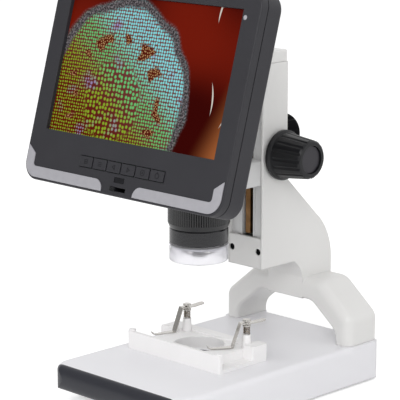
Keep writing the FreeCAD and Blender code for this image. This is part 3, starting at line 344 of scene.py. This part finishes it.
def picture_place():
    """Place on the panel in millimetres from the middle of the picture's lower edge."""
    shift = add_node(picture, "ShaderNodeVectorMath", operation="SUBTRACT")
    shift.inputs[1].default_value = picture_low_middle
    turn = add_node(picture, "ShaderNodeVectorRotate", rotation_type="X_AXIS")
    turn.inputs["Angle"].default_value = screen_tilt - math.pi / 2
    scale = add_node(picture, "ShaderNodeVectorMath", operation="SCALE")
    scale.inputs["Scale"].default_value = 1.0 / mm
    link(picture, object_place(picture), shift.inputs[0])
    link(picture, shift.outputs["Vector"], turn.inputs["Vector"])
    link(picture, turn.outputs["Vector"], scale.inputs[0])
    return scale.outputs["Vector"]


on_panel = picture_place()
dress(picture, "lcd_panel")
print("pieces dressed:", len(dressed), "of", len(nodes))

# %% [markdown]
# A picture made of nodes is a sum: every step takes one or two numbers and gives one. Short
# helpers keep the sum readable: arithmetic, a soft threshold, a colour laid over another where
# a mask says so, a field of round cells, slow noise, and the length of a flat vector.

# %% Picture helpers
mix_amount, mix_under, mix_over, mix_result = 0, 6, 7, 2


def calc(operation, *values):
    """One step of arithmetic on sockets or plain numbers."""
    step = add_node(picture, "ShaderNodeMath", operation=operation)
    for index, value in enumerate(values):
        if isinstance(value, (int, float)):
            step.inputs[index].default_value = value
        else:
            link(picture, value, step.inputs[index])
    return step.outputs["Value"]


def soft_step(value, low, high):
    """0 below low and 1 above high, with a smooth change between."""
    step = add_node(picture, "ShaderNodeMapRange", interpolation_type="SMOOTHSTEP",
                    From_Min=low, From_Max=high)
    link(picture, value, step.inputs["Value"])
    return step.outputs["Result"]


def lay_over(under, over, amount):
    """Lay one colour over another by an amount from 0 to 1."""
    mix = add_node(picture, "ShaderNodeMix", data_type="RGBA")
    for index, value in ((mix_amount, amount), (mix_under, under), (mix_over, over)):
        if isinstance(value, tuple):
            mix.inputs[index].default_value = (*value, 1.0)
        elif isinstance(value, (int, float)):
            mix.inputs[index].default_value = value
        else:
            link(picture, value, mix.inputs[index])
    return mix.outputs[mix_result]


def cell_glow(size, randomness, low, high, swell=0.0):
    """1 in the middle of each cell and 0 on its walls; size in millimetres, swell widens it."""
    cells = add_node(picture, "ShaderNodeTexVoronoi", voronoi_dimensions="2D",
                     Scale=1.0 / size, Randomness=randomness)
    link(picture, on_panel, cells.inputs["Vector"])
    reach = calc("SUBTRACT", cells.outputs["Distance"], swell)
    return calc("SUBTRACT", 1.0, soft_step(reach, low, high))


def drift(scale, low, high, detail=2.0):
    """Slow noise over the picture, as an amount from 0 to 1."""
    noise = add_node(picture, "ShaderNodeTexNoise", Scale=scale, Detail=detail)
    link(picture, on_panel, noise.inputs["Vector"])
    return soft_step(noise.outputs["Fac"], low, high)


def length_of(x, y):
    """Length of a flat vector."""
    return calc("SQRT", calc("ADD", calc("MULTIPLY", x, x), calc("MULTIPLY", y, y)))


# %% [markdown]
# The slice is a slightly uneven disc that runs out of the picture below and at the left. Its
# radius is 1 at the skin, so that every tissue can be named by a share of it: pith inside 0.4,
# a ring of bundles at 0.6, small outer cells, and the skin itself.

# %% Places in the slice
picture_half_width = 77.0
slice_middle = (-24.0, 24.0)
slice_radius = 66.0
unevenness = 0.20

split = add_node(picture, "ShaderNodeSeparateXYZ")
link(picture, on_panel, split.inputs["Vector"])
across, upward = split.outputs["X"], split.outputs["Y"]
from_x = calc("SUBTRACT", across, slice_middle[0])
from_y = calc("SUBTRACT", upward, slice_middle[1])
wobble = add_node(picture, "ShaderNodeTexNoise", Scale=0.035, Detail=1.0)
link(picture, on_panel, wobble.inputs["Vector"])
uneven = calc("MULTIPLY", calc("SUBTRACT", wobble.outputs["Fac"], 0.5), unevenness)
radius = calc("ADD", calc("DIVIDE", length_of(from_x, from_y), slice_radius), uneven)
angle = calc("ARCTAN2", from_y, from_x)
print("slice reaches x =", slice_middle[0] + slice_radius, "mm of", picture_half_width)

# %% [markdown]
# The tissue: small cells outside and larger ones in the pith, each a soft round glow. Their
# colour goes from yellow-green to cyan with the light, with a violet cloud here and there, and
# the walls between them go from a deep red to a paler one. Towards the light the glow also
# swells.

# %% Tissue
yellow_green, leaf_green = (0.23, 0.36, 0.02), (0.12, 0.50, 0.16)
cyan, violet = (0.22, 0.66, 0.70), (0.30, 0.20, 0.48)
deep_wall, pale_wall = (0.105, 0.006, 0.002), (0.15, 0.050, 0.045)

in_pith = calc("SUBTRACT", 1.0, soft_step(radius, 0.36, 0.42))
lit = soft_step(calc("ADD", calc("MULTIPLY", from_x, 0.75), from_y), -40.0, 66.0)
small_cells = cell_glow(size=2.15, randomness=0.25, low=0.16, high=0.42,
                        swell=calc("MULTIPLY", lit, 0.10))
pith_cells = cell_glow(size=3.1, randomness=0.45, low=0.20, high=0.46)
glow_color = lay_over(yellow_green, leaf_green, soft_step(lit, 0.25, 0.60))
glow_color = lay_over(glow_color, cyan, soft_step(lit, 0.62, 1.02))
glow_color = lay_over(glow_color, violet, drift(scale=0.05, low=0.56, high=0.74))
walls = lay_over(deep_wall, pale_wall, lit)
tissue = lay_over(walls, glow_color, lay_over(small_cells, pith_cells, in_pith))
print("nodes for the tissue:", len(picture.node_tree.nodes))

# %% [markdown]
# The bundles stand in a ring: the angle round the middle is cut into equal shares, and in each
# share a soft spot sits near the ring's radius. Slow noise moves the spots and changes their
# size, because no stem grows them even. Inside each spot a finer pattern in rust and cream shows
# the vessels.

# %% Bundles and skin
bundle_count = 13
bundle_ring = 0.62
rust, cream = (0.085, 0.010, 0.004), (0.46, 0.27, 0.11)
dark_skin, pale_skin = (0.030, 0.027, 0.029), (0.20, 0.18, 0.19)

unrest = calc("SUBTRACT", drift(scale=0.045, low=0.25, high=0.75, detail=1.0), 0.5)
turns = calc("MULTIPLY", calc("ADD", calc("DIVIDE", angle, 2 * math.pi), 0.5), bundle_count)
share = calc("FRACT", calc("ADD", turns, calc("MULTIPLY", unrest, 0.9)))
sideways = calc("MULTIPLY", calc("SUBTRACT", share, 0.5), 0.42)
ring = calc("ADD", bundle_ring, calc("MULTIPLY", unrest, 0.12))
spot = length_of(sideways, calc("SUBTRACT", radius, ring))
spot = calc("ADD", spot, calc("MULTIPLY", unrest, 0.05))
in_bundle = calc("SUBTRACT", 1.0, soft_step(spot, 0.050, 0.095))
vessels = lay_over(rust, cream, cell_glow(size=1.7, randomness=0.8, low=0.14, high=0.38))
tissue = lay_over(tissue, vessels, in_bundle)

skin_color = lay_over(dark_skin, pale_skin, drift(scale=0.8, low=0.40, high=0.68, detail=3.0))
in_skin = calc("MULTIPLY", soft_step(radius, 0.90, 0.95),
               calc("SUBTRACT", 1.0, soft_step(radius, 0.985, 1.05)))
print("bundles in the ring:", bundle_count)

# %% [markdown]
# Round the slice lies the stained ground: nearly black red at the left, warming to orange at
# the right. A few pale fibres lie on it. Each is a piece of a circle: its mask is the distance
# from that circle, and it grows thin towards both ends.

# %% Ground and fibres
deep_red, stain_red = (0.038, 0.0006, 0.0), (0.155, 0.008, 0.002)
orange, pale_fibre = (0.46, 0.15, 0.045), (0.62, 0.58, 0.52)

to_the_right = calc("ADD", across, calc("MULTIPLY", upward, -0.45))
ground = lay_over(deep_red, stain_red, drift(scale=0.012, low=0.35, high=0.65, detail=0.0))
ground = lay_over(ground, orange, soft_step(to_the_right, 50.0, 88.0))


def fibre(middle, ring, start, end, width):
    """Mask of a thin curved fibre: part of a circle between two angles, in degrees."""
    first, last = math.radians(start), math.radians(end)
    x = calc("SUBTRACT", across, middle[0])
    y = calc("SUBTRACT", upward, middle[1])
    around = calc("WRAP", calc("ARCTAN2", y, x), first + math.pi, first - math.pi)
    along = calc("DIVIDE", calc("SUBTRACT", around, first), last - first)
    bow = calc("SUBTRACT", along, 0.5)
    thickness = calc("MULTIPLY", calc("SUBTRACT", 0.25, calc("MULTIPLY", bow, bow)), 4.0 * width)
    off = calc("ABSOLUTE", calc("SUBTRACT", length_of(x, y), ring))
    return soft_step(calc("SUBTRACT", thickness, off), 0.0, 0.25)


fibres = [fibre((96.0, 84.0), 40.0, 152.0, 184.0, 0.8),
          fibre((26.0, 30.0), 38.0, 352.0, 386.0, 0.7),
          fibre((100.0, 6.0), 30.0, 118.0, 156.0, 0.7),
          fibre((-62.0, 112.0), 34.0, 278.0, 322.0, 0.8)]
for mask in fibres:
    ground = lay_over(ground, pale_fibre, mask)
print("fibres on the ground:", len(fibres))

# %% [markdown]
# The parts are laid over each other: slice, ground, skin. The panel shines with the picture's
# colour, and a quarter of it is also the panel's own colour, so that the picture is still there
# in a room without the screen's light.

# %% The whole picture
whole = lay_over(tissue, ground, soft_step(radius, 0.985, 1.02))
whole = lay_over(whole, skin_color, in_skin)
black, darkened = (0.0, 0.0, 0.0), 0.75
screen_shader = shader_of(picture)
screen_shader.inputs["Roughness"].default_value = 0.20
screen_shader.inputs["Specular IOR Level"].default_value = 0.05
screen_shader.inputs["Emission Strength"].default_value = 0.72
link(picture, lay_over(whole, black, darkened), screen_shader.inputs["Base Color"])
link(picture, whole, screen_shader.inputs["Emission Color"])
print("nodes in the picture:", len(picture.node_tree.nodes))

# %% [markdown]
# ## Tools for small pieces
# The small pieces that a solid modeller leaves plain are all made by the same few steps: a
# primitive is added with nothing else selected, its place and scale go into its mesh, some
# faces are picked and changed, and rims are softened by a bevel. Faces are picked by a test on
# each face, with all others left unselected.

# %% Modelling helpers
def select_only(*pieces):
    """Select these pieces and no others, and make the first one active."""
    bpy.ops.object.select_all(action="DESELECT")
    for piece in pieces:
        piece.select_set(True)
    bpy.context.view_layer.objects.active = pieces[0]


def settle():
    """Put the active piece's place, turn and scale into its mesh."""
    bpy.ops.object.transform_apply(location=True, rotation=True, scale=True)


def join_pieces(name, pieces):
    """Make one piece of several."""
    select_only(*pieces)
    if len(pieces) > 1:
        bpy.ops.object.join()
    pieces[0].name = name
    return pieces[0]


def pick_faces(piece, test):
    """Go into edit mode with only those faces selected that pass a test."""
    bpy.ops.object.mode_set(mode="EDIT")
    bpy.ops.mesh.select_mode(type="FACE")
    bpy.ops.mesh.select_all(action="DESELECT")
    bpy.ops.object.mode_set(mode="OBJECT")
    for face in piece.data.polygons:
        face.select = test(face)
    bpy.ops.object.mode_set(mode="EDIT")


def soften(piece, width, segments):
    """Round the piece's sharp edges by a bevel."""
    softener = piece.modifiers.new("softener", "BEVEL")
    softener.width = width
    softener.segments = segments
    bpy.ops.object.modifier_apply(modifier="softener")


def smooth_shade():
    """Shade the active piece smoothly across all but its sharp edges."""
    bpy.ops.object.shade_smooth_by_angle(angle=math.radians(30.0))


def cylinder(name, sides, radius, low, high, x=0.0, y=0.0):
    """An upright cylinder between two heights."""
    bpy.ops.object.select_all(action="DESELECT")
    bpy.ops.mesh.primitive_cylinder_add(vertices=sides, radius=radius, depth=high - low,
                                        location=(x, y, (low + high) / 2))
    made = bpy.context.active_object
    made.name = name
    settle()
    return made


def give(piece, finish, body):
    """Dress a new piece and hang it on the body it rides on."""
    piece.data.materials.clear()
    piece.data.materials.append(finish)
    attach(piece, body)


# %% [markdown]
# The screen is drawn upright and then tilted about its lower edge, so one matrix carries any
# place on the screen to its place in the room: x across, y into the screen, z up along it.

# %% Place on the screen
screen_low_middle = (0.0, -0.0800, 0.1805)
screen_frame = Matrix.Translation(screen_low_middle) @ Matrix.Rotation(-screen_tilt, 4, "X")


def place_on_screen(piece, x, depth, height, facing=1.0):
    """Lay a flat piece on the screen in millimetres; facing -1 lays it on the back."""
    turn = Matrix.Rotation(facing * math.pi / 2, 4, "X")
    spot = Matrix.Translation((x / 1000.0, depth / 1000.0, height / 1000.0))
    piece.matrix_world = screen_frame @ spot @ turn
    select_only(piece)
    settle()


print("screen tilt, degrees:", round(math.degrees(screen_tilt), 1))

# %% [markdown]
# ## Marks on the keys
# Every key carries a small dark sign, printed on the plastic. The signs are made flat, as
# outlines: a filled circle with as many sides as the sign has corners is inset, its middle is
# taken away, and the rest is thickened by about a tenth of a millimetre. Bars are stretched
# squares.

# %% Flat outlines
# This finish is the ink of the key marks, and also the painted shade on the black sheet behind
# the casing's vent.
print_and_shade_black = new_finish("print_and_shade_black", (0.010, 0.010, 0.012), 0.5, Specular_IOR_Level=0.2)
add_grain(print_and_shade_black, scale=3000.0, height=0.01 * mm, strength=0.2, rough=(0.44, 0.56),
          edge=0.05 * mm)
mark_height = 0.12 * mm


def thicken(piece, height):
    """Thicken a flat outline and turn its faces outwards."""
    bpy.ops.mesh.select_all(action="SELECT")
    bpy.ops.mesh.extrude_region_move(TRANSFORM_OT_translate={"value": (0.0, 0.0, height)})
    bpy.ops.mesh.select_all(action="SELECT")
    bpy.ops.mesh.normals_make_consistent(inside=False)
    bpy.ops.object.mode_set(mode="OBJECT")
    return piece


def sign(corners, reach, line=0.0, turn=0.0):
    """A flat sign with equal sides; line is the stroke's width, and 0 fills it."""
    bpy.ops.object.select_all(action="DESELECT")
    bpy.ops.mesh.primitive_circle_add(vertices=corners, radius=reach, fill_type="NGON",
                                      rotation=(0.0, 0.0, turn))
    made = bpy.context.active_object
    settle()
    bpy.ops.object.mode_set(mode="EDIT")
    bpy.ops.mesh.select_all(action="SELECT")
    if line:
        bpy.ops.mesh.inset(thickness=line)
        bpy.ops.mesh.delete(type="FACE")
    return thicken(made, mark_height)


def bar(width, height, x=0.0, y=0.0):
    """A flat bar."""
    bpy.ops.object.select_all(action="DESELECT")
    bpy.ops.mesh.primitive_plane_add(size=1.0, location=(x, y, 0.0))
    made = bpy.context.active_object
    made.scale = (width, height, 1.0)
    settle()
    bpy.ops.object.mode_set(mode="EDIT")
    return thicken(made, mark_height)


# %% [markdown]
# The six signs, from the left: a frame with a dot, three lines, a pointer to the left, one to
# the right, a small pointer in a ring, and a ring with a stroke. Each lies on its key, sunk by
# a third of its thickness, and moves with it.

# %% Key marks
key_pitch = 13.08
key_face = -2.5
key_height = -16.2
sunk = 0.04
quarter = math.pi / 2
signs = [
    [sign(4, 2.1 * mm, 0.35 * mm, quarter / 2), sign(16, 0.55 * mm)],
    [bar(3.2 * mm, 0.4 * mm, y=y * mm) for y in (-1.1, 0.0, 1.1)],
    [sign(3, 1.9 * mm, 0.42 * mm, quarter)],
    [sign(3, 1.9 * mm, 0.42 * mm, -quarter)],
    [sign(24, 1.9 * mm, 0.32 * mm), sign(3, 0.8 * mm)],
    [sign(24, 1.8 * mm, 0.34 * mm), bar(0.4 * mm, 1.5 * mm, y=1.6 * mm)],
]
middle_key = (len(signs) - 1) / 2
for index, parts in enumerate(signs):
    mark = join_pieces("key_mark_%d" % (index + 1), parts)
    place_on_screen(mark, (index - middle_key) * key_pitch, key_face + sunk, key_height)
    give(mark, print_and_shade_black, "key_%d" % (index + 1))
print("key marks:", len(signs))

# %% [markdown]
# ## Slots, screws and grips
# Small features finish the parts that a hand or a screwdriver meets. The casing's back has a
# vent near its upper edge: a thin plate with upright slots over a black sheet. The sheet is
# painted shade: it stands for the dark inside of the casing that shows through the slots. A
# grid of cells makes the plate quickly: its middle row is stretched to the height of the slots,
# every second cell of it is taken away, and what is left gets a thickness.

# %% Vent in the casing
casing_back = 17.2
vent_height = 74.0


def slotted_plate(name, slots, width, height):
    """A plate with a row of upright slots."""
    columns = 2 * slots + 1
    row_stretch = 2.2

    def in_middle_row(face):
        return abs(face.center.y) < 0.1 * height

    def in_slot(face):
        return in_middle_row(face) and int((face.center.x / width + 0.5) * columns) % 2 == 1

    bpy.ops.object.select_all(action="DESELECT")
    bpy.ops.mesh.primitive_grid_add(x_subdivisions=columns, y_subdivisions=3, size=1.0)
    plate = bpy.context.active_object
    plate.name = name
    plate.scale = (width, height, 1.0)
    settle()
    pick_faces(plate, in_middle_row)
    bpy.ops.transform.resize(value=(1.0, row_stretch, 1.0))
    bpy.ops.object.mode_set(mode="OBJECT")
    pick_faces(plate, in_slot)
    bpy.ops.mesh.delete(type="FACE")
    thicken(plate, 1.2 * mm)
    soften(plate, 0.3 * mm, 2)
    return plate


vent = slotted_plate("casing_vent", 15, 78.0 * mm, 20.0 * mm)
place_on_screen(vent, 0.0, casing_back, vent_height, -1.0)
give(vent, shell_grey, "head")
# The black sheet behind the vent's slots is painted shade, standing for the dark inside of the
# casing.
shade = bar(74.0 * mm, 15.0 * mm)
shade.name = "casing_vent_painted_shade"
place_on_screen(shade, 0.0, casing_back, vent_height, -1.0)
give(shade, print_and_shade_black, "head")
print("faces in the vent:", len(vent.data.polygons))

# %% [markdown]
# Four screws hold the casing, one near each corner. A head is a low cylinder whose rim is
# rounded by a bevel and whose middle is inset and pushed down.

# %% Casing screws
def screw_head(name, radius, height):
    """A round head with a soft rim and a socket in the middle."""
    head = cylinder(name, 32, radius, 0.0, height)
    pick_faces(head, lambda face: face.normal.z > 0.9)
    bpy.ops.mesh.bevel(offset=0.3 * height, segments=3)
    bpy.ops.object.mode_set(mode="OBJECT")
    pick_faces(head, lambda face: face.normal.z > 0.9 and face.center.xy.length < 0.1 * radius)
    bpy.ops.mesh.inset(thickness=0.35 * radius)
    bpy.ops.transform.translate(value=(0.0, 0.0, -0.5 * height))
    bpy.ops.object.mode_set(mode="OBJECT")
    smooth_shade()
    return head


screw_places = [(x, height) for height in (-12.0, 84.0) for x in (-78.0, 78.0)]
for number, (x, height) in enumerate(screw_places, start=1):
    head = screw_head("casing_screw_%d" % number, 2.9 * mm, 1.3 * mm)
    place_on_screen(head, x, casing_back, height, -1.0)
    give(head, grip_black, "head")
print("casing screws:", len(screw_places))

# %% [markdown]
# The slide switch gets three fine ribs for the fingertip. Inside the clear skirt, the lens ends
# in a short dark snout: seen through the frosted wall it is the blurred dark spot under the
# rings. It is a cylinder whose lower face is inset and pushed up, and whose rims are beveled.

# %% Switch ribs and lens snout
switch_place = (-4.5, -2.6, -29.6)
ribs = join_pieces("switch_ribs", [bar(0.35 * mm, 1.7 * mm, x=x * mm) for x in (-1.0, 0.0, 1.0)])
place_on_screen(ribs, *switch_place)
give(ribs, grip_black, "power_slider")

lens_low, lens_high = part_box("objective_lens")
lens_middle = (lens_low + lens_high) / 2
snout_low = lens_low.z - 4.6 * mm
snout_high = lens_low.z + 0.6 * mm
snout = cylinder("lens_snout", 64, 5.2 * mm, snout_low, snout_high, lens_middle.x, lens_middle.y)
pick_faces(snout, lambda face: face.normal.z < -0.9)
bpy.ops.mesh.inset(thickness=1.4 * mm)
bpy.ops.transform.translate(value=(0.0, 0.0, 2.5 * mm))
bpy.ops.object.mode_set(mode="OBJECT")
soften(snout, 0.4 * mm, 3)
smooth_shade()
give(snout, ring_black, "head")
print("snout, millimetres long:", round((snout_high - snout_low) / mm, 1))

# %% [markdown]
# ## The room
# The photograph has a white ground with hardly a shadow. The floor is pale and catches the soft
# shadow of the base; it also glows a little to the camera, through clear pieces and, more
# faintly, in mirrors, so that it reads as white where no shadow falls. The world is white to
# the camera and an even, slightly weaker white light on everything. A polished piece mirrors a
# real studio: white behind the object, and darker on the side where the photographer stands. The
# change lies between two values of the mirrored direction's Y.

# %% Floor and world
floor_width = 14.0
floor_glow = 0.42
floor_in_mirrors = 0.3
room_light = 0.76
room_behind_camera = 0.20
room_change = (-0.55, 0.30)
pure_white = (1.0, 1.0, 1.0, 1.0)


def is_seen(finish, mirrored):
    """1 for camera and see-through rays, a share for mirror rays, 0 for the light on things."""
    path = add_node(finish, "ShaderNodeLightPath")
    mirror = add_node(finish, "ShaderNodeMath", operation="MULTIPLY")
    first = add_node(finish, "ShaderNodeMath", operation="MAXIMUM")
    second = add_node(finish, "ShaderNodeMath", operation="MAXIMUM")
    mirror.inputs[1].default_value = mirrored
    link(finish, path.outputs["Is Glossy Ray"], mirror.inputs[0])
    link(finish, path.outputs["Is Camera Ray"], first.inputs[0])
    link(finish, mirror.outputs["Value"], first.inputs[1])
    link(finish, first.outputs["Value"], second.inputs[0])
    link(finish, path.outputs["Is Transmission Ray"], second.inputs[1])
    return second.outputs["Value"]


bpy.ops.object.select_all(action="DESELECT")
bpy.ops.mesh.primitive_plane_add(size=floor_width, location=(0.0, 0.0, 0.0))
floor = bpy.context.active_object
floor.name = "studio_floor"
floor_finish = new_finish("studio_floor", (0.82, 0.82, 0.82), 0.9)
glow = add_node(floor_finish, "ShaderNodeMath", operation="MULTIPLY")
glow.inputs[1].default_value = floor_glow
link(floor_finish, is_seen(floor_finish, floor_in_mirrors), glow.inputs[0])
link(floor_finish, glow.outputs["Value"], shader_of(floor_finish).inputs["Emission Strength"])
shader_of(floor_finish).inputs["Emission Color"].default_value = pure_white
floor.data.materials.append(floor_finish)

world = bpy.data.worlds.new("studio")
bpy.context.scene.world = world
world.use_nodes = True
sky = world.node_tree.nodes["Background"]
toward = add_node(world, "ShaderNodeSeparateXYZ")
link(world, add_node(world, "ShaderNodeTexCoord").outputs["Generated"], toward.inputs["Vector"])
studio = add_node(world, "ShaderNodeMapRange", interpolation_type="SMOOTHSTEP",
                  From_Min=room_change[0], From_Max=room_change[1],
                  To_Min=room_behind_camera, To_Max=1.0)
link(world, toward.outputs["Y"], studio.inputs["Value"])
plain_level = add_node(world, "ShaderNodeMapRange", To_Min=room_light, To_Max=1.0)
link(world, is_seen(world, 0.0), plain_level.inputs["Value"])
sky_level = add_node(world, "ShaderNodeMix", data_type="FLOAT")
level_plain, level_mirrored, level_result = 2, 3, 0
glossy = add_node(world, "ShaderNodeLightPath").outputs["Is Glossy Ray"]
link(world, glossy, sky_level.inputs[mix_amount])
link(world, plain_level.outputs["Result"], sky_level.inputs[level_plain])
link(world, studio.outputs["Result"], sky_level.inputs[level_mirrored])
link(world, sky_level.outputs[level_result], sky.inputs["Strength"])
sky.inputs["Color"].default_value = pure_white
print("floor, metres across:", floor_width)

# %% [markdown]
# ## The lamps
# Two broad, soft area lamps: the main one stands at the right front, not much higher than the
# object, so that upright faces get as much light as level ones, and a weaker one at the left
# front reaches the slide holder under the screen. Most of the light still comes evenly from all
# round, which keeps every shadow faint. Broad lamps give the long soft highlights on the nose
# strip, the rings and the knobs.

# %% Lamps
def add_lamp(name, place, aim, size, power):
    """A square area lamp at a place, turned towards a point."""
    data = bpy.data.lights.new(name, "AREA")
    data.shape = "SQUARE"
    data.size = size
    data.energy = power
    lamp = bpy.data.objects.new(name, data)
    bpy.context.scene.collection.objects.link(lamp)
    lamp.location = place
    lamp.rotation_euler = (Vector(aim) - Vector(place)).to_track_quat("-Z", "Y").to_euler()


add_lamp("main_lamp", place=(1.10, -1.15, 1.15), aim=(0.0, 0.0, 0.12), size=0.7, power=13.0)
add_lamp("front_lamp", place=(-0.45, -1.35, 1.00), aim=(0.0, 0.0, 0.08), size=0.9, power=4.0)
print("lamps:", len(bpy.data.lights))
